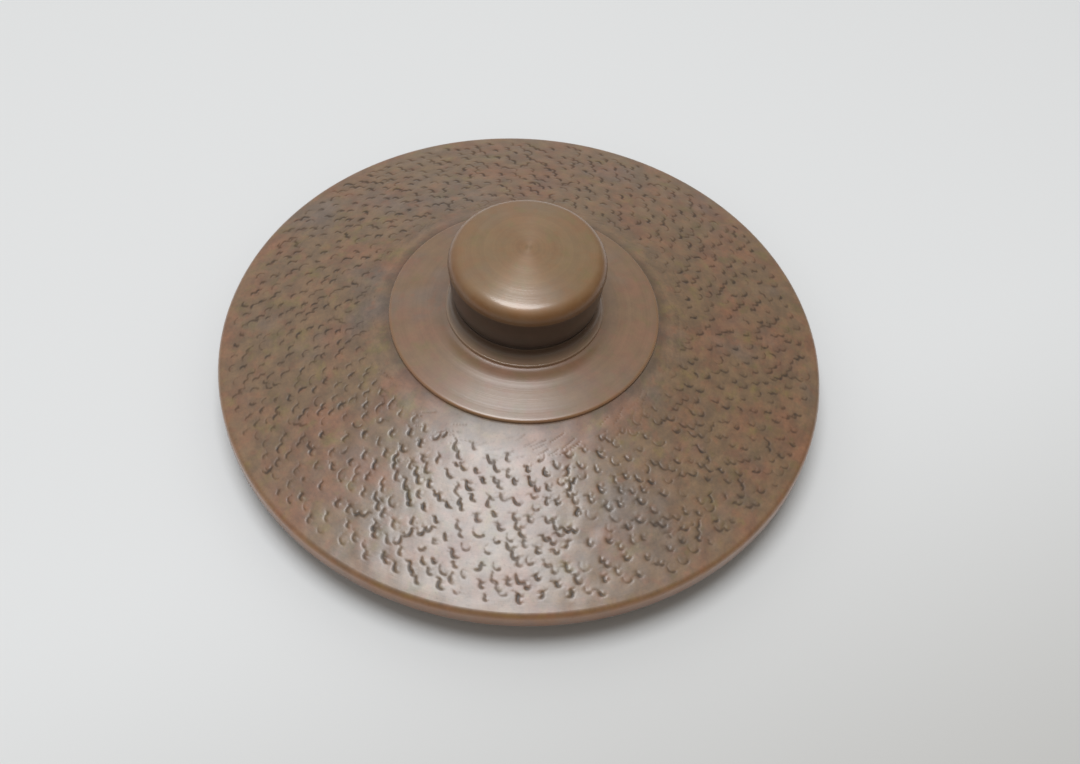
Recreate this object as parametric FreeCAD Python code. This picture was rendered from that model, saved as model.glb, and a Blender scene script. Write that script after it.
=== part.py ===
import FreeCAD, Part
import math
import os

# A small turned bronze lid for an iron kettle, in millimetres.
# A shallow conical plate with a round rim stands on a locating collar. A turned seat disc and a flared
# foot ring carry a hollow round knob, which turns on a shouldered stud peened over a washer underneath.
# +Z is up, along the axis that everything is turned about. The origin is the middle of the collar's foot.
# Every solid is an outline of (radius, height) points, turned a full circle about Z.

# Driving dimensions
LID_DIAMETER = 95.0
RIM_ROUND = 1.0             # rounds the rim over from the cone to its upright side
RIM_ROUND_HEIGHT = 7.88     # the centre of that round, above the collar's lower edge
RIM_LOWER_ROUND = 0.7
RIM_BOTTOM_HEIGHT = 5.55
RIM_BOTTOM_WIDTH = 0.7
RIM_ROOT_RADIUS = 44.4      # where the rim's inner side runs out on the plate's underside
PLATE_THICKNESS = 1.8
CONE_SLOPE = math.radians(18.0)
TABLE_RADIUS = 21.0         # the plate's flat middle, which carries the seat

COLLAR_RADIUS = 40.5        # outside, which drops into the kettle's mouth
COLLAR_WALL = 1.6
COLLAR_CHAMFER = 0.5
COLLAR_RELIEF_DEPTH = 0.6   # the collar tapers in at its root, so its plain wall ends clear of the plate
COLLAR_RELIEF_HEIGHT = 0.7
BRAZE_LEG = 1.3

SEAT_RADIUS = 20.75
SEAT_EDGE_HEIGHT = 0.65
SEAT_EDGE_ROUND = 0.35
SEAT_SLOPE = math.radians(10.0)
SEAT_HOLLOW_RADIUS = 13.6   # inside this radius the face dips in a shallow hollow round the foot ring
SEAT_HOLLOW_SAG = 0.15
SEAT_HUB_RADIUS = 12.2
SEAT_HUB_HEIGHT = 19.15

FOOT_BEAD_RADIUS = 12.1     # outermost point of the bead at the foot's base
FOOT_BEAD_ROUND = 0.4
FOOT_BEAD_HEIGHT = 19.85
FOOT_WAIST_RADIUS = 11.0
FOOT_TOP_HEIGHT = 22.3

KNOB_RADIUS = 11.8
KNOB_BOTTOM_RADIUS = 11.1
KNOB_BOTTOM_ROUND = 0.4
KNOB_GAP = 0.2              # between the foot ring and the turning knob
KNOB_WALL = 1.2
KNOB_FLOOR = 1.8
KNOB_SEAM_HEIGHT = 28.55    # where the two shells meet
KNOB_SEAM_STEP = 0.25       # how far the lower shell stands in from the cap at the seam
CAP_BAND = 0.3              # the upright band under the cap's shoulder
CAP_SHOULDER = 2.4
CAP_DOME = 45.0             # radius of the domed top, which the shoulder runs into without an edge

STUD_JOURNAL_RADIUS = 2.4   # the part of the stud that the knob turns on
STUD_SHANK_RADIUS = 1.9
RUNNING_CLEARANCE = 0.05
AXIAL_CLEARANCE = 0.1
THRUST_WASHER_RADIUS = 5.2
THRUST_WASHER_THICKNESS = 0.6
STUD_HEAD_RADIUS = 4.2
STUD_HEAD_HEIGHT = 1.5
BACK_WASHER_RADIUS = 6.5
BACK_WASHER_THICKNESS = 0.9
PEENED_HEAD_RADIUS = 3.4
PEENED_HEAD_HEIGHT = 1.5

QUARTER = math.pi / 2       # a quarter turn


def cone_height(radius):
    """Height of the cone's upper side, which is tangent to the rim's round."""
    touch_radius = RIM_CENTRE_RADIUS + RIM_ROUND * math.sin(CONE_SLOPE)
    touch_height = RIM_ROUND_HEIGHT + RIM_ROUND * math.cos(CONE_SLOPE)
    return touch_height + (touch_radius - radius) * math.tan(CONE_SLOPE)


def cone_underside(radius):
    return cone_height(radius) - PLATE_THICKNESS / math.cos(CONE_SLOPE)


# Worked-out dimensions
LID_RADIUS = LID_DIAMETER / 2
RIM_CENTRE_RADIUS = LID_RADIUS - RIM_ROUND
TABLE_HEIGHT = cone_height(TABLE_RADIUS)
TABLE_UNDERSIDE = TABLE_HEIGHT - PLATE_THICKNESS
KNOB_BOTTOM_HEIGHT = FOOT_TOP_HEIGHT + KNOB_GAP
KNOB_FLOOR_TOP = KNOB_BOTTOM_HEIGHT + KNOB_FLOOR
THRUST_WASHER_BOTTOM = KNOB_FLOOR_TOP + AXIAL_CLEARANCE / 2
THRUST_WASHER_TOP = THRUST_WASHER_BOTTOM + THRUST_WASHER_THICKNESS
STUD_HEAD_BOTTOM = THRUST_WASHER_TOP + AXIAL_CLEARANCE
BACK_WASHER_BOTTOM = TABLE_UNDERSIDE - BACK_WASHER_THICKNESS
# slope of the cap's dome where its shoulder starts
CAP_DOME_SLOPE = math.asin((KNOB_RADIUS - CAP_SHOULDER) / (CAP_DOME - CAP_SHOULDER))


class Outline:
    """A closed outline of lines and arcs in the plane through the axis, which is turned into a solid."""

    def __init__(self, radius, height):
        self.start = FreeCAD.Vector(radius, 0, height)
        self.here = self.start
        self.edges = []

    def line(self, radius, height):
        end = FreeCAD.Vector(radius, 0, height)
        self.edges.append(Part.LineSegment(self.here, end).toShape())
        self.here = end
        return self

    def arc(self, radius, height, bulge):
        """An arc to a point. Its middle stands off the chord by bulge, to the left of the way it is drawn."""
        end = FreeCAD.Vector(radius, 0, height)
        along = (end - self.here).normalize()
        left = FreeCAD.Vector(-along.z, 0, along.x)
        middle = (self.here + end) * 0.5 + left * bulge
        self.edges.append(Part.Arc(self.here, middle, end).toShape())
        self.here = end
        return self

    def turned(self):
        self.line(self.start.x, self.start.z)
        face = Part.Face(Part.Wire(self.edges))
        return face.revolve(FreeCAD.Vector(0, 0, 0), FreeCAD.Vector(0, 0, 1), 360)


def arc_bulge(radius, turn):
    """How far an arc of this radius and turn stands off its chord."""
    return radius * (1 - math.cos(turn / 2))


def dome_bulge(base_radius, height):
    """The bulge of the arc from a round dome's edge to its top, where it lies square to the axis."""
    sphere = (base_radius**2 + height**2) / (2 * height)
    return arc_bulge(sphere, math.asin(base_radius / sphere))


def lid_plate():
    """Conical plate of even thickness, flat in the middle, with a rounded rim that hangs below it."""
    touch_radius = RIM_CENTRE_RADIUS + RIM_ROUND * math.sin(CONE_SLOPE)
    # the underside's corner, where the cone's and the flat middle's thickness are both kept
    inner_corner = TABLE_RADIUS - PLATE_THICKNESS * math.tan(CONE_SLOPE / 2)
    edge_height = RIM_BOTTOM_HEIGHT + RIM_LOWER_ROUND
    bottom_outer = LID_RADIUS - RIM_LOWER_ROUND
    bottom_inner = bottom_outer - RIM_BOTTOM_WIDTH
    lower_bulge = arc_bulge(RIM_LOWER_ROUND, QUARTER)
    outline = Outline(STUD_SHANK_RADIUS, TABLE_HEIGHT)
    outline.line(TABLE_RADIUS, TABLE_HEIGHT)
    outline.line(touch_radius, cone_height(touch_radius))
    outline.arc(LID_RADIUS, RIM_ROUND_HEIGHT, arc_bulge(RIM_ROUND, QUARTER - CONE_SLOPE))
    outline.line(LID_RADIUS, edge_height)
    outline.arc(bottom_outer, RIM_BOTTOM_HEIGHT, lower_bulge)
    outline.line(bottom_inner, RIM_BOTTOM_HEIGHT)
    outline.arc(bottom_inner - RIM_LOWER_ROUND, edge_height, lower_bulge)
    outline.line(RIM_ROOT_RADIUS, cone_underside(RIM_ROOT_RADIUS))
    outline.line(inner_corner, TABLE_UNDERSIDE)
    outline.line(STUD_SHANK_RADIUS, TABLE_UNDERSIDE)
    return outline.turned()


def mouth_collar():
    """Plain ring that drops into the kettle's mouth, tapered in at its root and cut to the plate's slope."""
    inner = COLLAR_RADIUS - COLLAR_WALL
    relief = COLLAR_RADIUS - COLLAR_RELIEF_DEPTH
    wall_top = cone_underside(COLLAR_RADIUS) - COLLAR_RELIEF_HEIGHT
    outline = Outline(inner + COLLAR_CHAMFER / 2, 0)
    outline.line(COLLAR_RADIUS - COLLAR_CHAMFER, 0)
    outline.line(COLLAR_RADIUS, COLLAR_CHAMFER)
    outline.line(COLLAR_RADIUS, wall_top)
    outline.line(relief, cone_underside(relief))
    outline.line(inner, cone_underside(inner))
    outline.line(inner, COLLAR_CHAMFER / 2)
    return outline.turned()


def collar_braze():
    """Hollow fillet of braze in the corner between the collar's inside and the plate."""
    inner = COLLAR_RADIUS - COLLAR_WALL
    top = cone_underside(inner)
    far_radius = inner - BRAZE_LEG * math.cos(CONE_SLOPE)
    outline = Outline(inner, top)
    outline.line(inner, top - BRAZE_LEG)
    outline.arc(far_radius, cone_underside(far_radius), -BRAZE_LEG / 4)
    return outline.turned()


def knob_seat():
    """Turned disc with an upright edge, a gently rising face and a shallow hollow round the foot ring."""
    face_edge = SEAT_RADIUS - SEAT_EDGE_ROUND
    face_height = TABLE_HEIGHT + SEAT_EDGE_HEIGHT
    hollow_height = face_height + (face_edge - SEAT_HOLLOW_RADIUS) * math.tan(SEAT_SLOPE)
    outline = Outline(STUD_SHANK_RADIUS, TABLE_HEIGHT)
    outline.line(STUD_SHANK_RADIUS, SEAT_HUB_HEIGHT)
    outline.line(SEAT_HUB_RADIUS, SEAT_HUB_HEIGHT)
    outline.arc(SEAT_HOLLOW_RADIUS, hollow_height, -SEAT_HOLLOW_SAG)
    outline.line(face_edge, face_height)
    outline.arc(SEAT_RADIUS, face_height - SEAT_EDGE_ROUND, arc_bulge(SEAT_EDGE_ROUND, QUARTER))
    outline.line(SEAT_RADIUS, TABLE_HEIGHT)
    return outline.turned()


def knob_foot():
    """Ring between the seat and the knob: a bead at its base, then a hollow flare up to the waist."""
    bead_centre = FOOT_BEAD_RADIUS - FOOT_BEAD_ROUND
    top_round = 0.2
    flare_sag = 0.35
    outline = Outline(STUD_SHANK_RADIUS, SEAT_HUB_HEIGHT)
    outline.line(STUD_SHANK_RADIUS, FOOT_TOP_HEIGHT)
    outline.line(FOOT_WAIST_RADIUS - top_round, FOOT_TOP_HEIGHT)
    outline.arc(FOOT_WAIST_RADIUS, FOOT_TOP_HEIGHT - top_round, arc_bulge(top_round, QUARTER))
    outline.arc(bead_centre, FOOT_BEAD_HEIGHT, -flare_sag)
    outline.arc(FOOT_BEAD_RADIUS, FOOT_BEAD_HEIGHT - FOOT_BEAD_ROUND, arc_bulge(FOOT_BEAD_ROUND, QUARTER))
    outline.line(FOOT_BEAD_RADIUS, SEAT_HUB_HEIGHT)
    return outline.turned()


def knob_body():
    """Lower shell of the hollow knob: a floor bored for the stud, and a wall that widens up to the seam."""
    rim = KNOB_RADIUS - KNOB_SEAM_STEP
    inner_rim = rim - KNOB_WALL
    inner_bottom = KNOB_BOTTOM_RADIUS - KNOB_WALL
    bore = STUD_JOURNAL_RADIUS + RUNNING_CLEARANCE
    swell = 0.15
    outline = Outline(bore, KNOB_BOTTOM_HEIGHT)
    outline.line(bore, KNOB_FLOOR_TOP)
    outline.line(inner_bottom, KNOB_FLOOR_TOP)
    outline.arc(inner_rim, KNOB_SEAM_HEIGHT, -swell)
    outline.line(rim, KNOB_SEAM_HEIGHT)
    outline.arc(KNOB_BOTTOM_RADIUS, KNOB_BOTTOM_HEIGHT + KNOB_BOTTOM_ROUND, swell)
    bottom_bulge = arc_bulge(KNOB_BOTTOM_ROUND, QUARTER)
    outline.arc(KNOB_BOTTOM_RADIUS - KNOB_BOTTOM_ROUND, KNOB_BOTTOM_HEIGHT, bottom_bulge)
    return outline.turned()


def knob_cap():
    """Upper shell of the hollow knob: a short upright band, and a round shoulder running into a dome."""
    band_top = KNOB_SEAM_HEIGHT + CAP_BAND
    shoulder_centre = KNOB_RADIUS - CAP_SHOULDER
    top = band_top + CAP_DOME - (CAP_DOME - CAP_SHOULDER) * math.cos(CAP_DOME_SLOPE)
    shoulder_turn = QUARTER - CAP_DOME_SLOPE
    inner_radius = KNOB_RADIUS - KNOB_WALL
    inner_shoulder = CAP_SHOULDER - KNOB_WALL
    inner_dome = CAP_DOME - KNOB_WALL
    outer_meeting = (
        shoulder_centre + CAP_SHOULDER * math.sin(CAP_DOME_SLOPE),
        band_top + CAP_SHOULDER * math.cos(CAP_DOME_SLOPE),
    )
    inner_meeting = (
        shoulder_centre + inner_shoulder * math.sin(CAP_DOME_SLOPE),
        band_top + inner_shoulder * math.cos(CAP_DOME_SLOPE),
    )
    outline = Outline(0, top)
    outline.arc(*outer_meeting, arc_bulge(CAP_DOME, CAP_DOME_SLOPE))
    outline.arc(KNOB_RADIUS, band_top, arc_bulge(CAP_SHOULDER, shoulder_turn))
    outline.line(KNOB_RADIUS, KNOB_SEAM_HEIGHT)
    outline.line(inner_radius, KNOB_SEAM_HEIGHT)
    outline.line(inner_radius, band_top)
    outline.arc(*inner_meeting, -arc_bulge(inner_shoulder, shoulder_turn))
    outline.arc(0, top - KNOB_WALL, -arc_bulge(inner_dome, CAP_DOME_SLOPE))
    return outline.turned()


def inner_washer():
    """Thrust washer inside the knob, between its floor and the stud's head."""
    bore = STUD_JOURNAL_RADIUS + RUNNING_CLEARANCE
    outline = Outline(bore, THRUST_WASHER_BOTTOM)
    outline.line(THRUST_WASHER_RADIUS, THRUST_WASHER_BOTTOM)
    outline.line(THRUST_WASHER_RADIUS, THRUST_WASHER_TOP)
    outline.line(bore, THRUST_WASHER_TOP)
    return outline.turned()


def knob_stud():
    """Shouldered stud: a low round head, the journal that the knob turns on, and a shank peened below."""
    outline = Outline(0, STUD_HEAD_BOTTOM + STUD_HEAD_HEIGHT)
    outline.arc(STUD_HEAD_RADIUS, STUD_HEAD_BOTTOM, dome_bulge(STUD_HEAD_RADIUS, STUD_HEAD_HEIGHT))
    outline.line(STUD_JOURNAL_RADIUS, STUD_HEAD_BOTTOM)
    outline.line(STUD_JOURNAL_RADIUS, FOOT_TOP_HEIGHT)
    outline.line(STUD_SHANK_RADIUS, FOOT_TOP_HEIGHT)
    outline.line(STUD_SHANK_RADIUS, BACK_WASHER_BOTTOM)
    outline.line(PEENED_HEAD_RADIUS, BACK_WASHER_BOTTOM)
    peened_bulge = dome_bulge(PEENED_HEAD_RADIUS, PEENED_HEAD_HEIGHT)
    outline.arc(0, BACK_WASHER_BOTTOM - PEENED_HEAD_HEIGHT, peened_bulge)
    return outline.turned()


def back_washer():
    """Washer under the plate that the stud is peened over, chamfered on its lower edge."""
    chamfer = BACK_WASHER_THICKNESS / 2
    outline = Outline(STUD_SHANK_RADIUS, TABLE_UNDERSIDE)
    outline.line(BACK_WASHER_RADIUS, TABLE_UNDERSIDE)
    outline.line(BACK_WASHER_RADIUS, TABLE_UNDERSIDE - chamfer)
    outline.line(BACK_WASHER_RADIUS - chamfer, BACK_WASHER_BOTTOM)
    outline.line(STUD_SHANK_RADIUS, BACK_WASHER_BOTTOM)
    return outline.turned()


PIECES = {
    "lid_plate": lid_plate,
    "mouth_collar": mouth_collar,
    "collar_braze": collar_braze,
    "knob_seat": knob_seat,
    "knob_foot": knob_foot,
    "knob_body": knob_body,
    "knob_cap": knob_cap,
    "inner_washer": inner_washer,
    "knob_stud": knob_stud,
    "back_washer": back_washer,
}

os.makedirs("parts", exist_ok=True)
for name, make in PIECES.items():
    solid = make()
    box = solid.BoundBox
    print(f"{name:13s} valid {solid.isValid()} volume {solid.Volume:9.2f} z {box.ZMin:6.2f}, {box.ZMax:6.2f}")
    solid.exportStep(f"parts/{name}.step")
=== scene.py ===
import math
import random

import bpy
import numpy as np
from mathutils import Matrix, Vector


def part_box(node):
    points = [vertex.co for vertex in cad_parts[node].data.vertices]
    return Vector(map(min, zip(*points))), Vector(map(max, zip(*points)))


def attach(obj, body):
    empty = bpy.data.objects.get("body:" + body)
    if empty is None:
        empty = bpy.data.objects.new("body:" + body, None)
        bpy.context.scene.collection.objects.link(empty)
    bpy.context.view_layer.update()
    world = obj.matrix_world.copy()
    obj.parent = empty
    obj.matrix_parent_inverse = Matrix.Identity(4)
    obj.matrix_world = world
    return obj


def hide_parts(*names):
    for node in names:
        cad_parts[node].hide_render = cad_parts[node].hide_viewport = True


# A turned bronze kettle lid. Every shown piece is turned from the outline of its own CAD node, with the
# corners eased, and with turning rings, punched marks and hammering added as real geometry.
# Lengths are in millimetres unless they are outline points or mesh places, which are in metres.

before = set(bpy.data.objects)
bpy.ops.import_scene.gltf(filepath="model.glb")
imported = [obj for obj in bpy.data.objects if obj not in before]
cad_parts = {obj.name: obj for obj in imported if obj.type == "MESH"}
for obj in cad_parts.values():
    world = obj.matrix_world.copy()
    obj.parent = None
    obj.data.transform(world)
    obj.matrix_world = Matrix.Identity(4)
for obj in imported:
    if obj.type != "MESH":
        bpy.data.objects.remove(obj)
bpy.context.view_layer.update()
MM = 0.001
TAU = 2 * math.pi
OUTLINE_STEP = 0.04 * MM                # spacing of an outline's points before it is thinned
MOST_BEND = math.radians(6)             # how far a thinned outline may bend between two points
dice = random.Random(11)


def box_mm(node):
    """The low and high corners of a node's box, in millimetres."""
    return [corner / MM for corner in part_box(node)]


# ---------------------------------------------------------------- outlines

def node_edges(name):
    """The straight pieces of a turned node's outline.

    Each is keyed by its two ends and holds the (radius, height) and the outward normal at each end.
    """
    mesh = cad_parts[name].data
    places = np.empty(len(mesh.vertices) * 3)
    mesh.vertices.foreach_get("co", places)
    places = places.reshape(-1, 3)
    corner_vertex = np.empty(len(mesh.loops), int)
    mesh.loops.foreach_get("vertex_index", corner_vertex)
    corner_normal = np.empty(len(mesh.loops) * 3)
    mesh.corner_normals.foreach_get("vector", corner_normal)
    normals = np.zeros_like(places)
    normals[corner_vertex] = corner_normal.reshape(-1, 3)
    ends = np.empty(len(mesh.edges) * 2, int)
    mesh.edges.foreach_get("vertices", ends)
    on_plane = (abs(places[:, 1]) < 1e-7) & (places[:, 0] > -1e-9)
    found = {}
    for a, b in ends.reshape(-1, 2):
        if not (on_plane[a] and on_plane[b]):
            continue
        key = tuple(sorted((point_key(places[a]), point_key(places[b]))))
        if key[0] != key[1]:
            found[key] = [(places[i][[0, 2]], normals[i][[0, 2]]) for i in (a, b)]
    return found


def point_key(place):
    """A point's (radius, height) in rounded millimetres, to match the ends of edges."""
    return round(place[0] / MM, 4), round(place[2] / MM, 4)


def edge_chain(found):
    """The keys of an outline's points in order, and whether it closes on itself."""
    links = {}
    for key in found:
        for here, there in (key, key[::-1]):
            links.setdefault(here, []).append(there)
    # a flat face square to the axis has no edge in the plane, so its two ends are joined here
    loose = sorted((k for k in links if len(links[k]) == 1 and k[0] > 0), key=lambda k: (k[1], k[0]))
    for here, there in zip(loose[::2], loose[1::2]):
        links[here].append(there)
        links[there].append(here)
    on_axis = [k for k in links if k[0] == 0]
    closed = not on_axis
    here = max(links, key=lambda k: (k[1], -k[0])) if closed else max(on_axis, key=lambda k: k[1])
    before = None
    chain = [here]
    while True:
        ways = [k for k in links[here] if k != before and (k not in chain or k == chain[0])]
        if not ways:
            break
        # from the start, the way outwards over the upper side comes first
        there = max(ways, key=lambda k: (k[0], k[1])) if before is None else ways[0]
        before, here = here, there
        if here == chain[0]:
            break
        chain.append(here)
    if closed:
        chain.append(chain[0])
    return chain, closed


def node_outline(name):
    """A turned node's outline as evenly spaced (radius, height) points, and whether it closes on itself.

    Each piece is a curve between its ends that leaves and arrives square to the normals there.
    """
    found = node_edges(name)
    chain, closed = edge_chain(found)
    points = []
    for here, there in zip(chain, chain[1:]):
        a, b = np.array(here) * MM, np.array(there) * MM
        chord = b - a
        length = np.linalg.norm(chord)
        tangents = [chord, chord]
        for place, normal in found.get(tuple(sorted((here, there))), ()):
            tangent = np.array([normal[1], -normal[0]])
            if abs(tangent @ chord) > 0.3 * length * np.linalg.norm(tangent) > 0:
                tangent *= length / (np.linalg.norm(tangent) * np.sign(tangent @ chord))
                tangents[0 if np.allclose(place, a, atol=1e-7) else 1] = tangent
        steps = max(1, round(length / OUTLINE_STEP))
        t = np.linspace(0, 1, steps, endpoint=False)[:, None]
        curve = (2 * t**3 - 3 * t**2 + 1) * a + (t**3 - 2 * t**2 + t) * tangents[0]
        curve = curve + (3 * t**2 - 2 * t**3) * b + (t**3 - t**2) * tangents[1]
        points.append(curve)
    if not closed:
        points.append(np.array([chain[-1]]) * MM)
    return even(np.concatenate(points), closed), closed


def even(points, closed):
    """The same line with its points evenly spaced."""
    line = np.vstack([points, points[:1]]) if closed else points
    along = np.r_[0, np.cumsum(np.linalg.norm(np.diff(line, axis=0), axis=1))]
    count = max(8, round(along[-1] / OUTLINE_STEP))
    wanted = np.linspace(0, along[-1], count + 1)
    if closed:
        wanted = wanted[:-1]
    return np.stack([np.interp(wanted, along, line[:, i]) for i in (0, 1)], 1)


def eased(points, closed, spread):
    """The line with its corners rounded off, by a running average of about this spread."""
    reach = max(1, round(3 * spread / OUTLINE_STEP))
    weights = np.exp(-0.5 * (np.arange(-reach, reach + 1) * OUTLINE_STEP / spread) ** 2)
    weights /= weights.sum()
    if closed:
        padded = np.vstack([points[-reach:], points, points[:reach]])
    else:
        # the ends lie on the axis, where the line goes on as its own mirror image
        mirror = np.array([-1, 1])
        padded = np.vstack([points[reach:0:-1] * mirror, points, points[-2:-reach - 2:-1] * mirror])
    smooth = np.stack([np.convolve(padded[:, i], weights, "valid") for i in (0, 1)], 1)
    smooth[:, 0] = np.maximum(smooth[:, 0], 0)
    return smooth


def outward(points, closed):
    """Unit normals that point out of the solid. The outline runs outwards over the upper side first."""
    if closed:
        along = np.roll(points, -1, axis=0) - np.roll(points, 1, axis=0)
    else:
        along = np.gradient(points, axis=0)
        along[[0, -1], 1] = 0
    normal = np.stack([-along[:, 1], along[:, 0]], 1)
    return normal / np.maximum(np.linalg.norm(normal, axis=1), 1e-12)[:, None]


def ring_noise(count, wavelength, seed):
    """A smooth wavy line of about unit height, for turning rings."""
    spare = 200
    source = np.random.default_rng(seed).normal(size=count + 2 * spare)
    spread = wavelength * MM / OUTLINE_STEP / 3
    reach = int(3 * spread) + 1
    weights = np.exp(-0.5 * (np.arange(-reach, reach + 1) / spread) ** 2)
    weights /= math.sqrt((weights**2).sum())
    return np.convolve(source, weights, "same")[spare:spare + count]


def thinned(points, normals, longest, closed):
    """Indices of the points to keep, close together only where the line bends."""
    kept = [0]
    for i in range(1, len(points)):
        bend = math.acos(max(-1, min(1, float(normals[i] @ normals[kept[-1]]))))
        if bend > MOST_BEND or np.linalg.norm(points[i] - points[kept[-1]]) > longest:
            kept.append(i)
    if not closed and kept[-1] != len(points) - 1:
        kept.append(len(points) - 1)
    return np.array(kept)


# ---------------------------------------------------------------- turning

def add_piece(name, vertices, faces, normals, attributes, material, body, node):
    """A shown piece that rides on a body and stands for a CAD node. Attributes are numbers per vertex."""
    mesh = bpy.data.meshes.new(name)
    mesh.from_pydata(vertices.tolist(), [], faces)
    mesh.polygons.foreach_set("use_smooth", [True] * len(mesh.polygons))
    for key, values in attributes.items():
        layer = mesh.attributes.new(key, "FLOAT", "POINT")
        layer.data.foreach_set("value", np.asarray(values, np.float32))
    mesh.normals_split_custom_set_from_vertices(normals.tolist())
    mesh.materials.append(material)
    piece = bpy.data.objects.new(name, mesh)
    bpy.context.scene.collection.objects.link(piece)
    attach(piece, body)
    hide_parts(node)
    return piece


def spot_cover(points, spots):
    """How strongly each point is covered by spots of (radius, height, spread, amount): for abrasion, for a
    painted glint and for painted shade.
    """
    tinted = np.zeros(len(points))
    for radius, height, spread, amount in spots:
        gap = np.hypot(points[:, 0] - radius, points[:, 1] - height)
        tinted = np.maximum(tinted, amount * np.exp(-((gap / spread) ** 2)))
    return tinted


def turned_outline(node, ease, longest, softer, rings):
    """The outline to turn, as points and normals, and whether it closes. The arguments are turned's."""
    sharp, closed = node_outline(node)
    points = eased(sharp, closed, ease * MM)
    if softer:
        radius, reach, soft_ease = (length * MM for length in softer)
        share = np.clip(2 - 2 * abs(points[:, 0] - radius) / reach, 0, 1)[:, None]
        share = share * (outward(points, closed)[:, 1:] > 0.5)
        points = points + share * (eased(sharp, closed, soft_ease) - points)
    normals = outward(points, closed)
    if rings:
        inner, outer, height, wavelength, seed = rings
        radii = points[:, 0] / MM
        fade = np.clip(radii - inner, 0, 1) * np.clip(outer - radii, 0, 1)
        fade *= np.clip(normals[:, 1] * 2 - 0.6, 0, 1)
        wave = ring_noise(len(points), wavelength, seed)
        points = points + normals * (height * MM * wave * fade)[:, None]
        normals = outward(points, closed)
    kept = thinned(points, normals, longest * MM, closed)
    return points[kept], normals[kept], closed


def turned(name, node, body, material, segments=320, ease=0.08, longest=0.6, rings=None, softer=None,
           tinted=(), shade_spots=(), wobble=None):
    """A piece turned from its node's outline. All lengths are in millimetres.

    rings is (lowest radius, highest radius, height, wavelength, seed) for the upper side.
    softer is (radius, reach, ease) of a zone of the upper side that is rounded off more than the rest.
    The first list of spots gives abrasion, and on the foot ring a painted glint; the second gives painted
    shade. Both are spots of (radius, height, spread, amount).
    wobble(points, angles) gives how far each vertex stands off along its normal, in metres.
    """
    points, normals, closed = turned_outline(node, ease, longest, softer, rings)
    # the two points on the axis, if any, become poles and not rings
    in_rings = slice(None) if closed else slice(1, -1)
    ring_points, ring_normals = points[in_rings], normals[in_rings]
    count = len(ring_points)
    angles = np.linspace(0, TAU, segments, endpoint=False)
    cos, sin = np.cos(angles), np.sin(angles)
    offset = wobble(ring_points, angles) if wobble else np.zeros((count, segments))
    radius = ring_points[:, :1] + offset * ring_normals[:, :1]
    height = ring_points[:, 1:] + offset * ring_normals[:, 1:]
    flat_normal = np.repeat(ring_normals[:, :1], segments, 1)
    up_normal = np.repeat(ring_normals[:, 1:], segments, 1)
    vertices = np.stack([radius * cos, radius * sin, height], 2).reshape(-1, 3)
    shading = np.stack([flat_normal * cos, flat_normal * sin, up_normal], 2).reshape(-1, 3)
    wear_and_glint, painted_shade = (np.repeat(spot_cover(ring_points / MM, spots), segments) for spots in (tinted, shade_spots))
    faces = []
    for i in range(count if closed else count - 1):
        j = (i + 1) % count
        for k in range(segments):
            m = (k + 1) % segments
            faces.append((i * segments + k, j * segments + k, j * segments + m, i * segments + m))
    if not closed:
        top, bottom = len(vertices), len(vertices) + 1
        lowest = (count - 1) * segments
        for k in range(segments):
            m = (k + 1) % segments
            faces.append((top, k, m))
            faces.append((bottom, lowest + m, lowest + k))
        ends = [0, -1]
        vertices = np.vstack([vertices, [[0, 0, points[end, 1]] for end in ends]])
        shading = np.vstack([shading, [[0, 0, np.sign(normals[end, 1])] for end in ends]])
        wear_and_glint, painted_shade = np.r_[wear_and_glint, 0, 0], np.r_[painted_shade, 0, 0]
    attributes = {"wear_and_glint": wear_and_glint, "painted_shade": painted_shade}
    piece = add_piece(name, vertices, faces, shading, attributes, material, body, node)
    if wobble:
        # zero asks for the mesh's own normals, which follow the wobble
        piece.data.normals_split_custom_set_from_vertices([(0, 0, 0)] * len(vertices))


# ---------------------------------------------------------------- punched marks

# The legs of a mark's strokes, with x anticlockwise and y outwards: the ranges of the length, of the first
# heading and of the last heading, and then the widths at the two ends as shares of a full stroke.
OPEN_BOWL = ((1.5, 2.1), (2.0, 2.6), (-0.9, -0.3), 0.5, 1.0)
THIN_TAIL = ((0.4, 0.8), (-0.2, 0.2), (0.1, 0.6), 0.4, 0.7)
THICK_STEM = ((0.45, 0.95), (1.5, 2.1), (0.9, 1.4), 0.9, 1.2)
CUPPED_FOOT = ((0.5, 0.95), (0.5, 1.0), (-0.9, -0.2), 1.3, 0.5)
SECOND_CUP = ((0.5, 0.8), (0.4, 0.9), (-0.9, -0.4), 0.8, 0.4)

STROKE_HALF_WIDTH = 0.17
CUP_RADIUS = 0.32                       # how far a cup's middle lies from the stroke round it
MARK_TRIES = 9000
MARK_SPACING = (1.45, 2.1)
SCRATCHES = 150
GRID_STEP = 0.15                        # of the plate's mesh over a mark
BLOCK = 8                               # grid steps in a face on smooth metal
PIT_DEPTH = 0.13


def leg(length, heading, last_heading, width, last_width):
    """One leg of a stroke, with its first three numbers drawn from their ranges."""
    return dice.uniform(*length), dice.uniform(*heading), dice.uniform(*last_heading), width, last_width


def wander(x, y, legs):
    """A stroke's middle line from (x, y) as (x, y, width) points, and the middles of its cups."""
    line, cups = [], []
    for length, heading, last_heading, width, last_width in legs:
        steps = max(2, round(length / 0.17))
        turn = (last_heading - heading) / steps
        if abs(last_heading - heading) > 0.8:
            middle = (heading + last_heading) / 2
            side = math.copysign(CUP_RADIUS, last_heading - heading)
            ahead = length / 2
            cups.append((x + ahead * math.cos(middle) - side * math.sin(middle),
                         y + ahead * math.sin(middle) + side * math.cos(middle)))
        for i in range(steps):
            line.append((x, y, width + (last_width - width) * i / steps))
            x += length / steps * math.cos(heading + turn / 2)
            y += length / steps * math.sin(heading + turn / 2)
            heading += turn
    line.append((x, y, last_width))
    return line, cups


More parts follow.
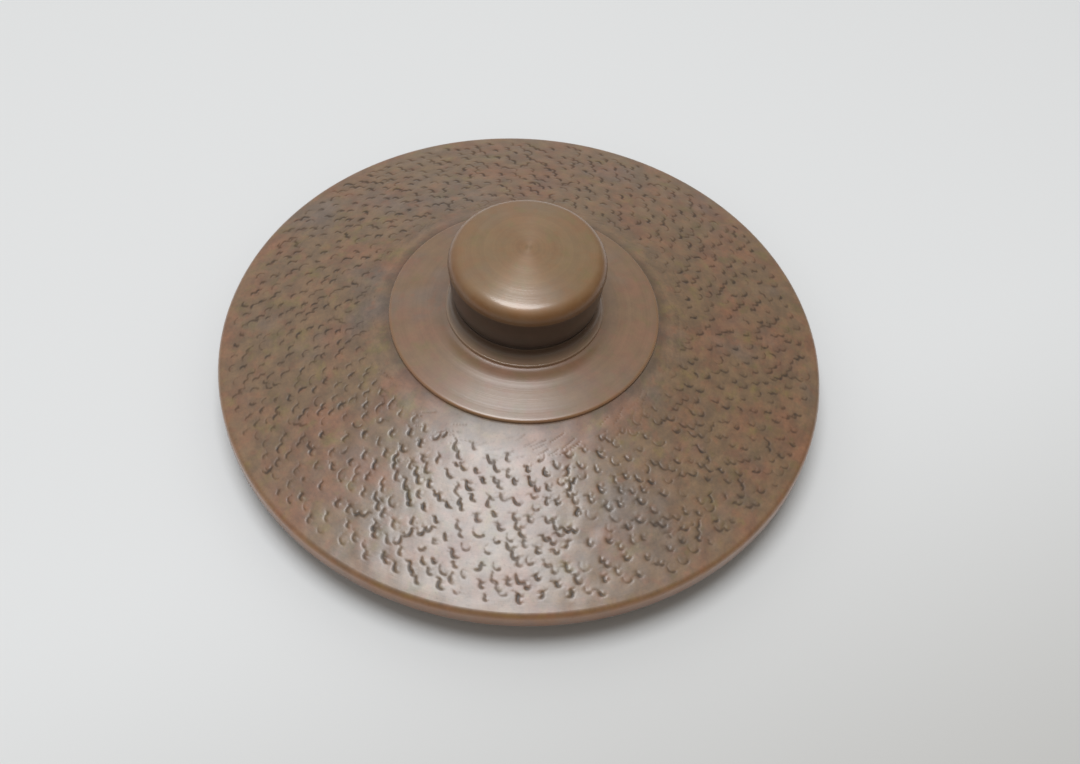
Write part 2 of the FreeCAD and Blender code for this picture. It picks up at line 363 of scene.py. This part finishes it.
def one_mark():
    """One mark's strokes. Most marks are a tail, a stem and a foot, with short strokes across the stem."""
    if dice.random() < 0.12:
        return [wander(0, 0, [leg(*OPEN_BOWL)])]
    legs = []
    if dice.random() < 0.8:
        legs.append(leg(*THIN_TAIL))
    for _ in range(dice.choice((1, 1, 1, 2))):
        legs.append(leg(*THICK_STEM))
        legs.append(leg(*CUPPED_FOOT))
    strokes = [wander(0, 0, legs)]
    main_line = strokes[0][0]
    stem_x, stem_y, _ = main_line[len(main_line) // 2]
    if dice.random() < 0.65:
        across = dice.uniform(0.5, 0.9)
        below = dice.uniform(0.1, 0.4)
        cross_bar = (across, dice.uniform(-0.3, 0.1), dice.uniform(0.2, 0.5), 0.4, 0.7)
        strokes.append(wander(stem_x - 0.7 * across, stem_y - below, [cross_bar]))
    if dice.random() < 0.65:
        below = dice.uniform(0.3, 0.5)
        strokes.append(wander(stem_x, stem_y - below, [leg(*SECOND_CUP)]))
    return strokes


def laid_out(strokes, centre, angle):
    """A mark's strokes in place on the plate, a little tilted, scaled and ragged, as (line, cups)."""
    tilt = dice.gauss(0, 0.25)
    size = dice.uniform(0.85, 1.35)
    hand = -1 if dice.random() < 0.06 else 1
    middle = np.mean([(x, y) for x, y, _ in strokes[0][0]], axis=0)

    def on_plate(x, y):
        x, y = hand * size * (x - middle[0]), size * (y - middle[1])
        x, y = x * math.cos(tilt) - y * math.sin(tilt), x * math.sin(tilt) + y * math.cos(tilt)
        return (centre[0] + y * math.cos(angle) - x * math.sin(angle),
                centre[1] + y * math.sin(angle) + x * math.cos(angle))

    # a stroke's width varies along it, which leaves its edges ragged
    lines = [[(*on_plate(x, y), width * dice.uniform(0.65, 1.15)) for x, y, width in line]
             for line, _ in strokes]
    return [(line, [on_plate(x, y) for x, y in cups]) for line, (_, cups) in zip(lines, strokes)]


def place_marks(inner, outer):
    """All the marks' strokes on the flat, between two radii, as (line, cups, depth)."""
    placed = []
    spots = np.zeros((0, 2))
    for _ in range(MARK_TRIES):
        radius = math.sqrt(dice.uniform(inner**2, outer**2))
        angle = dice.uniform(0, TAU)
        centre = np.array([radius * math.cos(angle), radius * math.sin(angle)])
        if len(spots) and np.hypot(*(spots - centre).T).min() < dice.uniform(*MARK_SPACING):
            continue
        strokes = laid_out(one_mark(), centre, angle)
        if not all(inner < math.hypot(x, y) < outer for line, _ in strokes for x, y, _ in line):
            continue
        spots = np.vstack([spots, centre])
        depth = min(1, 0.45 + (radius - inner) / 5) * dice.uniform(0.6, 1.0)
        placed += [(line, cups, depth * dice.uniform(0.75, 1.0)) for line, cups in strokes]
    return placed


def place_scratches(inner):
    """Fine scratches, to which the marks thin out close to the seat, as (line, cups, depth)."""
    placed = []
    for _ in range(SCRATCHES):
        radius = dice.uniform(inner - 1.2, inner + 2.5)
        angle = dice.uniform(0, TAU)
        heading = angle + math.pi / 2 + dice.gauss(0.3, 0.15)
        legs = [(dice.uniform(1.2, 2.6), heading, heading + dice.uniform(0.0, 0.3), 0.35, 0.5)]
        line, _ = wander(radius * math.cos(angle), radius * math.sin(angle), legs)
        placed.append((line, [], dice.uniform(0.3, 0.6)))
    return placed


class MarkField:
    """How deep the punched marks go, on a fine grid of radius and angle."""

    def __init__(self, inner, outer):
        self.inner = inner
        self.rows = round((outer - inner) / GRID_STEP / BLOCK) * BLOCK
        self.row_step = (outer - inner) / self.rows
        self.columns = round(TAU * (inner + outer) / 2 / GRID_STEP / BLOCK) * BLOCK
        self.radii = inner + np.arange(self.rows + 1) * self.row_step
        self.angles = np.arange(self.columns) * TAU / self.columns
        self.depth = np.zeros((self.rows + 1, self.columns))
        self.swell = np.zeros((self.rows + 1, self.columns))

    def stamp(self, line, cups, depth):
        """Sink one stroke into the grid."""
        x, y = (sum(place[axis] for place in line) / len(line) for axis in (0, 1))
        radius, angle = math.hypot(x, y), math.atan2(y, x) % TAU
        reach = max(math.hypot(a - x, b - y) for a, b, _ in line) + 1.0
        low = max(0, int((radius - reach - self.inner) / self.row_step))
        high = min(self.rows, int((radius + reach - self.inner) / self.row_step) + 2)
        rows = np.arange(low, high + 1)
        half = int(reach / radius / TAU * self.columns) + 2
        columns = (int(angle / TAU * self.columns) + np.arange(-half, half + 1)) % self.columns
        here_x = self.radii[rows, None] * np.cos(self.angles[columns])[None, :]
        here_y = self.radii[rows, None] * np.sin(self.angles[columns])[None, :]
        pit = np.zeros(here_x.shape)
        for (ax, ay, width), (bx, by, next_width) in zip(line, line[1:]):
            dx, dy = bx - ax, by - ay
            t = np.clip(((here_x - ax) * dx + (here_y - ay) * dy) / (dx * dx + dy * dy), 0, 1)
            broad = width + (next_width - width) * t
            gap = np.hypot(here_x - ax - t * dx, here_y - ay - t * dy)
            across = np.clip(1.2 - gap / (STROKE_HALF_WIDTH * broad), 0, 1)
            # narrow strokes are shallow ones
            pit = np.maximum(pit, across * np.clip(0.35 + 0.6 * broad, 0, 1))
        window = np.ix_(rows, columns)
        self.depth[window] = np.maximum(self.depth[window], depth * pit)
        # inside each cup the punch left a shallow dish with a raised burr in its middle
        for cup_x, cup_y in cups:
            away = np.hypot(here_x - cup_x, here_y - cup_y)
            burr = np.exp(-((away / 0.24) ** 2))
            dish = np.exp(-((away / 0.6) ** 2))
            self.swell[window] += depth * (0.035 * burr - 0.015 * dish)

    def blurred(self, grid, spread):
        """A grid smoothed by a running average of about this spread."""
        reach = max(1, round(3 * spread / self.row_step))
        weights = np.exp(-0.5 * (np.arange(-reach, reach + 1) * self.row_step / spread) ** 2)
        weights /= weights.sum()
        for axis in (0, 1):
            grid = sum(weight * np.roll(grid, k - reach, axis) for k, weight in enumerate(weights))
        return grid

    def finish(self):
        """Soften the strokes, and work out the soot round them, the heights and the slopes."""
        self.depth = self.blurred(self.depth, 0.095)
        self.soot = np.clip(2.2 * self.blurred(self.depth, 0.34), 0, 1)
        self.height = self.swell * (1 - np.clip(2.5 * self.depth, 0, 1)) - PIT_DEPTH * self.depth
        self.slope_out = np.gradient(self.height, self.row_step, axis=0)
        around = (np.roll(self.height, -1, 1) - np.roll(self.height, 1, 1)) / 2
        self.slope_around = around / (self.radii[:, None] * TAU / self.columns)

    def cell_sizes(self):
        """How many grid steps wide the mesh's face is at each grid cell.

        It is one over a mark and up to a whole block on smooth metal, and it never more than doubles from
        one face to the next.
        """
        marked = self.depth > 0.06
        marked |= np.roll(marked, -1, 1)
        split = marked[:-1] | marked[1:]
        sizes = np.ones(split.shape, int)
        size = 2
        while size <= BLOCK:
            split = split.reshape(split.shape[0] // 2, 2, split.shape[1] // 2, 2).any((1, 3))
            whole = np.repeat(np.repeat(~split, size, 0), size, 1)
            sizes[whole] = size
            beside = split | np.roll(split, 1, 1) | np.roll(split, -1, 1)
            split = beside.copy()
            split[1:] |= beside[:-1]
            split[:-1] |= beside[1:]
            size *= 2
        return sizes

    def faces(self):
        """Faces as lists of (row, column), with an extra corner where a neighbour is finer."""
        sizes = self.cell_sizes()
        found = []
        for i, j in np.ndindex(sizes.shape):
            size = sizes[i, j]
            if i % size or j % size:
                continue
            half = size // 2
            end_i = i + size
            end_j = (j + size) % self.columns
            face = [(i, j)]
            if sizes[i, j - 1] < size:
                face.append((i + half, j))
            face.append((end_i, j))
            if end_i < self.rows and sizes[end_i, j] < size:
                face.append((end_i, j + half))
            face.append((end_i, end_j))
            if sizes[i, end_j] < size:
                face.append((i + half, end_j))
            face.append((i, end_j))
            if i and sizes[i - 1, j] < size:
                face.append((i, j + half))
            found.append(face)
        return found


def marked_field(seat_edge, rim):
    """The plate's marked band, from just outside the seat to just inside the rim."""
    field = MarkField(seat_edge + 0.8, rim - 1.6)
    marks_inner = seat_edge + 3.4
    for mark in place_marks(marks_inner, rim - 1.8) + place_scratches(marks_inner):
        field.stamp(*mark)
    field.finish()
    return field


def punched_plate(material):
    """The lid's plate. The marked band's mesh is fine over the marks only, and the rest is plain rings."""
    low, high = box_mm("lid_plate")
    seat_edge = box_mm("knob_seat")[1].x
    field = marked_field(seat_edge, high.x)
    points, closed = node_outline("lid_plate")
    points = eased(points, closed, 0.07 * MM) / MM
    normals = outward(points, closed)
    radii = points[:, 0]
    top = np.flatnonzero((normals[:, 1] > 0.5) & (np.gradient(radii) > 0))
    # the height and the normal of the plate's upper side at each of the grid's radii
    cone = [np.interp(field.radii, radii[top], column[top]) for column in (points[:, 1], *normals.T)]
    vertices, shading, marks, soot = [], [], [], []
    numbers = {}

    def add_vertex(radius, height, flat, up, angle, lift=0, slope_out=0, slope_around=0, mark=0, dark=0):
        cos, sin = math.cos(angle), math.sin(angle)
        radius, height = radius + lift * flat, height + lift * up
        out, rise = flat - slope_out * up * up, up + slope_out * up * flat
        vertices.append((radius * cos, radius * sin, height))
        shading.append((out * cos + slope_around * sin, out * sin - slope_around * cos, rise))
        marks.append(mark)
        soot.append(dark)
        return len(vertices) - 1

    def grid_vertex(place):
        if place not in numbers:
            i, j = place
            numbers[place] = add_vertex(
                field.radii[i], cone[0][i], cone[1][i], cone[2][i], field.angles[j], field.height[i, j],
                field.slope_out[i, j], field.slope_around[i, j], field.depth[i, j], field.soot[i, j])
        return numbers[place]

    def edge_corners(row, k):
        """The grid's corners along one coarse step of its inner or outer edge."""
        steps = [c % field.columns for c in range(k * BLOCK, (k + 1) * BLOCK + 1)]
        return [numbers[row, c] for c in steps if (row, c) in numbers]

    faces = [tuple(grid_vertex(place) for place in face) for face in field.faces()]
    segments = field.columns // BLOCK
    # the plain rings, from the band's outer edge round underneath and back over the middle to its inner edge
    start = top[np.searchsorted(radii[top], field.radii[-1])]
    stop = top[np.searchsorted(radii[top], field.radii[0]) - 1]
    order = np.r_[start:len(points), 0:stop + 1]
    kept = order[thinned(points[order], normals[order], 0.8, True)]
    rings = [[add_vertex(*points[i], *normals[i], TAU * k / segments) for k in range(segments)] for i in kept]
    for k in range(segments):
        m = (k + 1) % segments
        faces += [(ring[k], after[k], after[m], ring[m]) for ring, after in zip(rings, rings[1:])]
        faces.append((rings[0][k], rings[0][m], *edge_corners(field.rows, k)[::-1]))
        faces.append((rings[-1][k], *edge_corners(0, k), rings[-1][m]))

    places = np.array(vertices)
    shading = np.array(shading)
    shading /= np.linalg.norm(shading, axis=1)[:, None]
    across = np.stack([np.hypot(places[:, 0], places[:, 1]), places[:, 2]], 1)
    tinted = [(high.x, low.z + 1.9, 1.0, 0.75), (high.x, low.z + 0.8, 1.0, 0.8)]
    # painted shade: darker at the foot of the seat's step and along the rim's lower edge
    shade_spots = [(seat_edge + 0.2, high.z, 0.9, 0.4), (high.x + 0.4, low.z + 0.4, 1.35, 0.72)]
    attributes = {"wear_and_glint": spot_cover(across, tinted), "painted_shade": spot_cover(across, shade_spots), "mark": marks, "soot": soot}
    add_piece("plate", places * MM, faces, shading, attributes, material, "lid", "lid_plate")


# ---------------------------------------------------------------- materials

# painted shade: the colour laid in corners, under steps and between parts, where shade falls
STEP_SHADE = (40, 30, 25)                # in the corners and under the steps
MARK_SOOT = (62, 48, 34)                # round the marks
# grime and painted shade in the pits of the marks
MARK_DIRT_AND_SHADE = (50, 38, 29)                # in the marks
BUMP_DEPTH = 0.012 * MM


class Nodes:
    """A material's node tree, built one node at a time."""

    def __init__(self, name):
        self.material = bpy.data.materials.new(name)
        self.material.use_nodes = True
        self.tree = self.material.node_tree
        self.shader = self.tree.nodes["Principled BSDF"]

    def add(self, kind, *inputs, **settings):
        """A node with its first inputs linked or set, and its first output returned."""
        node = self.tree.nodes.new(kind)
        for key, value in settings.items():
            if key in node.inputs and not hasattr(node, key):
                self.feed(node.inputs[key], value)
            else:
                setattr(node, key, value)
        for socket, value in zip(node.inputs, inputs):
            self.feed(socket, value)
        return node.outputs[0]

    def feed(self, socket, value):
        if isinstance(value, bpy.types.NodeSocket):
            self.tree.links.new(value, socket)
        else:
            socket.default_value = value

    def math(self, operation, *values, clamp=False):
        return self.add("ShaderNodeMath", *values, operation=operation, use_clamp=clamp)

    def vector(self, operation, *values, **settings):
        return self.add("ShaderNodeVectorMath", *values, operation=operation, **settings)

    def noise(self, vector, scale, detail=3.0, roughness=0.55):
        """Noise of about 0 to 1, with its middle at 0.5."""
        return self.add("ShaderNodeTexNoise", vector, Scale=scale, Detail=detail, Roughness=roughness)

    def spread(self, value, low, high, to_low=0.0, to_high=1.0):
        """A value's range from low to high, spread smoothly over another range."""
        return self.add("ShaderNodeMapRange", value, low, high, to_low, to_high,
                        interpolation_type="SMOOTHSTEP")

    def less(self, value, share):
        """A value reduced by a share of itself."""
        return self.math("MULTIPLY", self.math("SUBTRACT", 1.0, share), value)

    def mix(self, share, first, second):
        """One colour into another by share."""
        node = self.tree.nodes.new("ShaderNodeMix")
        node.data_type = "RGBA"
        self.feed(node.inputs["Factor"], share)
        for socket, value in (("A", first), ("B", second)):
            target = [s for s in node.inputs if s.name == socket and s.type == "RGBA"][0]
            self.feed(target, value if isinstance(value, bpy.types.NodeSocket) else (*value, 1))
        return [s for s in node.outputs if s.type == "RGBA"][0]

    def attribute(self, name):
        node = self.tree.nodes.new("ShaderNodeAttribute")
        node.attribute_name = name
        return node.outputs["Fac"]

    def set(self, **values):
        for key, value in values.items():
            self.feed(self.shader.inputs[key.replace("_", " ")], value)


def linear(colour):
    """A colour given in sRGB 0 to 255, as the linear numbers that nodes take."""
    return tuple((c / 255 / 12.92) if c < 11 else ((c / 255 + 0.055) / 1.055) ** 2.4 for c in colour)


def patina(name, browns, wear_and_glint_colour, roughness, rings, gloss, metallic=0.35, marks=False, grain=1.0,
           anisotropic=0.4, ior=1.5, uneven=0.0, polish=0.3):
    """Lacquered brown patina over bronze: cloudy patches of four browns, abraded edges, rings and a soft
    coat.

    browns are the ground colour and its red, olive and grey patches. rings, grain and uneven are how strong
    the turning lines, the specks and the broad unevenness are. polish is the coat's roughness. Painted shade
    darkens corners and steps, and on the foot ring the abrasion colour is a painted glint.
    """
    n = Nodes(name)
    base, red, olive, grey = (linear(brown) for brown in browns)
    where = n.add("ShaderNodeTexCoord").node.outputs["Object"]
    radius = n.vector("LENGTH", n.vector("MULTIPLY", where, (1, 1, 0))).node.outputs["Value"]
    height = n.add("ShaderNodeSeparateXYZ", where).node.outputs["Z"]
    along = n.add("ShaderNodeCombineXYZ", radius, height, 0.0)
    shifted = n.vector("ADD", where, (0.31, 0.17, 0.05))
    moved = n.vector("ADD", where, (0.13, 0.41, 0.23))

    clouds = n.noise(where, 110, 4, 0.6)
    blotches = n.noise(shifted, 340, 3, 0.6)
    veils = n.noise(moved, 70, 3, 0.6)
    spots = n.noise(moved, 520, 2, 0.5)
    specks = n.noise(where, 1800, 3, 0.65)
    bands = n.noise(along, 900, 3, 0.7)
    colour = n.mix(n.spread(clouds, 0.42, 0.68, 0, 0.8), base, red)
    colour = n.mix(n.spread(blotches, 0.5, 0.75, 0, 0.8), colour, olive)
    colour = n.mix(n.spread(veils, 0.5, 0.75, 0, 0.75), colour, grey)
    colour = n.mix(n.spread(spots, 0.52, 0.72, 0, 0.5), colour, red)
    shade = n.math("ADD", n.spread(specks, 0.25, 0.75, 1 - 0.08 * grain, 1 + 0.08 * grain),
                   n.spread(bands, 0.3, 0.7, -0.06, 0.06))
    mottle = n.spread(n.noise(shifted, 420, 2, 0.5), 0.3, 0.7, 1 - 0.11 * grain, 1 + 0.11 * grain)
    colour = n.vector("SCALE", colour, Scale=n.math("MULTIPLY", shade, mottle))
    # the abrasion colour is laid on abraded edges, and on the foot ring it is a painted glint
    rubbed_and_glint = n.math("MULTIPLY", n.attribute("wear_and_glint"), n.spread(blotches, 0.2, 0.7, 0.55, 1.15), clamp=True)
    colour = n.mix(rubbed_and_glint, colour, linear(wear_and_glint_colour))
    # painted shade: the attribute read here darkens corners, steps and the gaps between parts, and takes the
    # coat off there
    painted_shade = n.attribute("painted_shade")
    colour = n.mix(n.math("MULTIPLY", painted_shade, 0.9), colour, linear(STEP_SHADE))

    rough = n.spread(clouds, 0.3, 0.7, roughness - 0.05, roughness + 0.06)
    coat = n.less(gloss, painted_shade)
    coat_rough = polish
    if marks:
        mark = n.attribute("mark")
        pepper = n.math("MULTIPLY", n.spread(n.noise(shifted, 2000, 2, 0.6), 0.56, 0.74), 0.15)
        # the pits of the marks are darkened both for grime and as painted shade in them; pepper adds fine
        # dark specks
        dirt_and_shade = n.math("MAXIMUM", n.spread(mark, 0.0, 0.75), pepper)
        colour = n.mix(n.math("MULTIPLY", n.attribute("soot"), 0.54), colour, linear(MARK_SOOT))
        colour = n.mix(n.math("MULTIPLY", dirt_and_shade, 0.9), colour, linear(MARK_DIRT_AND_SHADE))
        dulled = n.math("MAXIMUM", n.spread(mark, 0.0, 0.35), pepper)
        # the plain ring by the seat is left matt
        matt = n.spread(radius, 23.0 * MM, 25.5 * MM, 0.07, 0.0)
        rough = n.math("ADD", n.math("ADD", rough, matt), n.math("MULTIPLY", dulled, 0.3), clamp=True)
        coat = n.less(coat, n.math("MULTIPLY", dulled, 0.66))
        coat = n.less(coat, n.math("MULTIPLY", rubbed_and_glint, 0.25))
        coat_rough = n.math("ADD", matt, polish)

    lines = n.math("MULTIPLY", n.noise(along, 5200, 2, 0.7), rings)
    relief = n.math("ADD", lines, n.math("MULTIPLY", specks, grain * 0.35))
    relief = n.math("ADD", relief, n.math("MULTIPLY", n.noise(moved, 380, 0, 0.5), uneven))
    bump = n.add("ShaderNodeBump", Strength=1.0, Distance=BUMP_DEPTH, Height=relief)
    # turning grooves spread a highlight outwards and inwards, across themselves
    tangent = n.add("ShaderNodeTangent", direction_type="RADIAL", axis="Z")
    metal = n.spread(rubbed_and_glint, 0.0, 1.0, metallic, min(1.0, metallic + 0.3))
    n.set(Base_Color=colour, Roughness=rough, Metallic=metal, Normal=bump, Anisotropic=anisotropic,
          Anisotropic_Rotation=0.25, IOR=ior, Tangent=tangent, Coat_Weight=coat, Coat_Roughness=coat_rough,
          Coat_IOR=1.6, Coat_Normal=bump)
    return n.material


def floor_material():
    """Plain and pale, with painted shade: a little darker in tone towards the near right, where the lamp's
    light falls off.
    """
    n = Nodes("pale_floor")
    where = n.add("ShaderNodeTexCoord").node.outputs["Object"]
    towards = n.vector("DOT_PRODUCT", where, (0.45, -0.9, 0)).node.outputs["Value"]
    # painted shade standing in for the lamp's fall-off
    painted_falloff = n.spread(towards, 0.01, 0.12)
    n.set(Base_Color=n.mix(painted_falloff, (0.80, 0.79, 0.775), (0.54, 0.52, 0.49)), Roughness=0.9,
          Specular_IOR_Level=0.2)
    return n.material


PLATE = patina("plate_patina", ((121, 93, 63), (132, 86, 57), (118, 98, 51), (112, 94, 81)), (170, 106, 46),
               roughness=0.42, rings=0.5, gloss=1.0, metallic=0.04, marks=True, grain=1.5, anisotropic=0.1,
               uneven=7.0)
SEAT = patina("seat_patina", ((128, 98, 68), (134, 92, 66), (122, 98, 60), (118, 98, 84)), (150, 100, 50),
              roughness=0.42, rings=1.0, gloss=1.0, metallic=0.06, grain=0.5, anisotropic=0.5)
KNOB = patina("knob_patina", ((134, 106, 71), (138, 98, 60), (127, 105, 62), (130, 109, 86)), (138, 90, 38),
              roughness=0.37, rings=1.0, gloss=0.7, metallic=0.15, grain=0.3, anisotropic=0.6, ior=1.65,
              polish=0.2)
# browns lighter than the seat's and a pale abrasion colour: a painted glint on the bead of the foot ring
FOOT = patina("foot_patina_and_glint", ((142, 114, 87), (146, 110, 84), (136, 114, 80), (132, 114, 100)),
              (178, 146, 118), roughness=0.34, rings=0.5, gloss=1.0, metallic=0.06, grain=0.4,
              anisotropic=0.2, polish=0.14)
# darker patina in the knob's neck, and painted shade under the cap's overhang
KNOB_SIDE = patina("knob_side_patina_and_shade", ((59, 40, 26), (64, 39, 24), (54, 40, 24), (56, 43, 36)),
                   (120, 82, 42), roughness=0.45, rings=1.0, gloss=0.5, metallic=0.05, grain=0.5)
COLLAR = patina("collar_patina", ((118, 90, 66), (124, 84, 58), (112, 92, 60), (104, 90, 80)),
                (160, 112, 62), roughness=0.45, rings=1.2, gloss=0.4, grain=0.8)
BRAZE = patina("braze_metal", ((158, 132, 84), (150, 112, 72), (140, 128, 82), (120, 110, 92)),
               (176, 148, 92), roughness=0.5, rings=0.3, gloss=0.1, metallic=0.8, grain=2.0, anisotropic=0.0)
FASTENER = patina("fastener_bronze", ((132, 100, 70), (138, 96, 64), (120, 98, 62), (108, 94, 82)),
                  (172, 128, 74), roughness=0.42, rings=0.8, gloss=0.3, metallic=0.6, grain=0.8)


# ---------------------------------------------------------------- pieces

def hammered(points, angles):
    """Flats left by the peening hammer on the stud's lower head."""
    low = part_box("knob_stud")[0].z
    share = np.clip(1 - (points[:, 1] - low) / (1.4 * MM), 0, 1)[:, None]
    lobes = np.cos(7 * angles) + 0.6 * np.cos(4 * angles + 1.3) + 0.5 * np.cos(11 * angles + 2.2)
    return -0.035 * MM * share * (lobes[None, :] + 1.6) * np.clip(points[:, :1] / (2 * MM), 0, 1)


def runny(points, angles):
    """The uneven run of the braze: its face moves in and out along its length."""
    swell = 0.5 + 0.3 * np.cos(9 * angles + 0.4) + 0.25 * np.cos(17 * angles + 2) + 0.2 * np.cos(31 * angles)
    return -0.09 * MM * np.repeat(np.clip(swell, 0, 1.3)[None, :], len(points), 0)


punched_plate(PLATE)
low, high = box_mm("knob_seat")
turned("seat", "knob_seat", "lid", SEAT, ease=0.09, longest=0.32,
       rings=(12.2, 20.2, 0.008, 1.3, 4), softer=(14.8, 3.0, 0.5),
       tinted=[(high.x - 0.05, low.z + 0.5, 0.3, 0.5)])
low, high = box_mm("knob_foot")
# the spot low on the bead is a painted glint, pale over the bead and the shaded wall at its base; the spot
# high on the flare is painted shade under the knob
turned("foot_ring", "knob_foot", "lid", FOOT, segments=256, ease=0.05, longest=0.45,
       softer=(high.x, 2.4, 0.38),
       tinted=[(high.x - 0.1, low.z + 0.3, 0.4, 0.7)],
       shade_spots=[(high.x - 1.1, high.z - 0.7, 1.9, 0.95)])
low, high = box_mm("knob_body")
# the spot at the body's lower edge is painted shade, which also takes the coat's glint off that edge
turned("knob_body_shell", "knob_body", "knob", KNOB_SIDE, ease=0.06, longest=0.5,
       tinted=[(high.x, high.z - 0.1, 0.25, 0.3)],
       shade_spots=[(high.x - 0.7, low.z + 0.1, 1.5, 0.95)])
low, high = box_mm("knob_cap")
# the spot at the cap's lower band is painted shade under its shoulder
turned("knob_cap_shell", "knob_cap", "knob", KNOB, ease=0.07, longest=0.3,
       rings=(0.8, 10.2, 0.006, 1.1, 14),
       tinted=[(high.x - 0.3, low.z + 1.3, 1.4, 0.95)],
       shade_spots=[(high.x + 0.2, low.z + 0.4, 1.4, 0.5)])
turned("collar_ring", "mouth_collar", "lid", COLLAR, longest=0.8)
turned("braze_fillet", "collar_braze", "lid", BRAZE, segments=400, ease=0.05, wobble=runny)
turned("peened_stud", "knob_stud", "lid", FASTENER, segments=96, ease=0.06,
       longest=0.3, wobble=hammered)
turned("stud_washer", "back_washer", "lid", FASTENER, segments=160, ease=0.05)
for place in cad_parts["inner_washer"].material_slots:
    place.material = FASTENER


# ---------------------------------------------------------------- stage

FLOOR_REACH = 1.6
FLOOR_STEPS = 8


def add_floor():
    """A wide square grid at the lid's foot."""
    side = np.linspace(-FLOOR_REACH, FLOOR_REACH, FLOOR_STEPS + 1)
    corners = [(x, y, 0) for y in side for x in side]
    row = FLOOR_STEPS + 1
    firsts = [j * row + i for j in range(FLOOR_STEPS) for i in range(FLOOR_STEPS)]
    faces = [(first, first + 1, first + row + 1, first + row) for first in firsts]
    mesh = bpy.data.meshes.new("floor")
    mesh.from_pydata(corners, [], faces)
    mesh.materials.append(floor_material())
    floor = bpy.data.objects.new("floor", mesh)
    bpy.context.scene.collection.objects.link(floor)


def add_window():
    """One round soft lamp high above the lid, a little to the left and in front."""
    place = Vector((-0.05, -0.035, 0.75))
    target = Vector((0, 0, 0.01))
    lamp = bpy.data.lights.new("window", "AREA")
    lamp.shape = "DISK"
    lamp.size = 0.42
    lamp.energy = 3.45
    lamp.color = (0.93, 0.98, 1.03)
    holder = bpy.data.objects.new("window", lamp)
    bpy.context.scene.collection.objects.link(holder)
    turn = (place - target).to_track_quat("Z", "Y")
    holder.matrix_world = Matrix.Translation(place) @ turn.to_matrix().to_4x4()


def add_sky():
    """A soft room: bright and cool overhead, to the left and behind, and warmer and darker low down."""
    world = bpy.data.worlds.new("studio")
    bpy.context.scene.world = world
    world.use_nodes = True
    tree = world.node_tree
    where = tree.nodes.new("ShaderNodeTexCoord")
    rise = tree.nodes.new("ShaderNodeVectorMath")
    rise.operation = "DOT_PRODUCT"
    rise.inputs[1].default_value = (-0.42, 0.32, 0.85)
    tree.links.new(where.outputs["Generated"], rise.inputs[0])
    ramp = tree.nodes.new("ShaderNodeMapRange")
    ramp.interpolation_type = "SMOOTHSTEP"
    tree.links.new(rise.outputs["Value"], ramp.inputs[0])
    tone = tree.nodes.new("ShaderNodeMixRGB")
    tone.inputs[1].default_value = (0.265, 0.248, 0.222, 1)
    tone.inputs[2].default_value = (0.51, 0.515, 0.52, 1)
    tree.links.new(ramp.outputs[0], tone.inputs[0])
    tree.links.new(tone.outputs[0], tree.nodes["Background"].inputs[0])


def add_camera():
    """The camera looks down on the lid at 53.5 degrees, a little rolled, from 220 mm."""
    pitch = math.radians(53.50)
    roll = math.radians(5.11)
    distance = 219.7 * MM
    aim = Vector((3.35 * MM, -5.69 * MM, 7.5 * MM))
    forward = Vector((0, math.cos(pitch), -math.sin(pitch)))
    camera = bpy.data.objects.new("camera", bpy.data.cameras.new("camera"))
    camera.data.sensor_width = 36
    camera.data.lens = 46.67
    camera.data.clip_start = 0.01
    tilt = Matrix.Rotation(math.pi / 2 - pitch, 4, "X") @ Matrix.Rotation(roll, 4, "Z")
    camera.matrix_world = Matrix.Translation(aim - forward * distance) @ tilt
    bpy.context.scene.collection.objects.link(camera)
    bpy.context.scene.camera = camera


add_floor()
add_sky()
add_window()
add_camera()
bpy.context.scene.view_settings.view_transform = "Standard"
